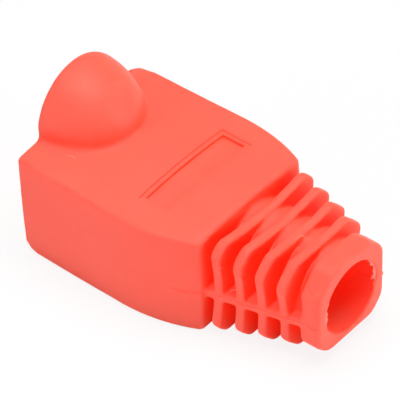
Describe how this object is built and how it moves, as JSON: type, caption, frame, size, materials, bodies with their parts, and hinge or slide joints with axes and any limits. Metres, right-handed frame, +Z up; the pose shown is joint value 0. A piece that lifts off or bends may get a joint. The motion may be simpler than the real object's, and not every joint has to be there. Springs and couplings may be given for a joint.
{
  "type": "rj45 strain relief boot",
  "caption": "Soft moulded boot for an 8-position modular plug: drafted housing with a hollow latch dome, finned cable neck and end ring.",
  "frame": {"origin": "underside, at the middle of the length and width", "axes": "+X along the cable, from the open mouth to the end ring; +Y across; +Z up, with the latch dome on top"},
  "size_m": [0.0264, 0.0152, 0.0136],
  "materials": {
    "boot_pvc": "satin soft PVC, coral red"
  },
  "bodies": {
    "root": {"boot": "boot_pvc"}
  },
  "joints": []
}
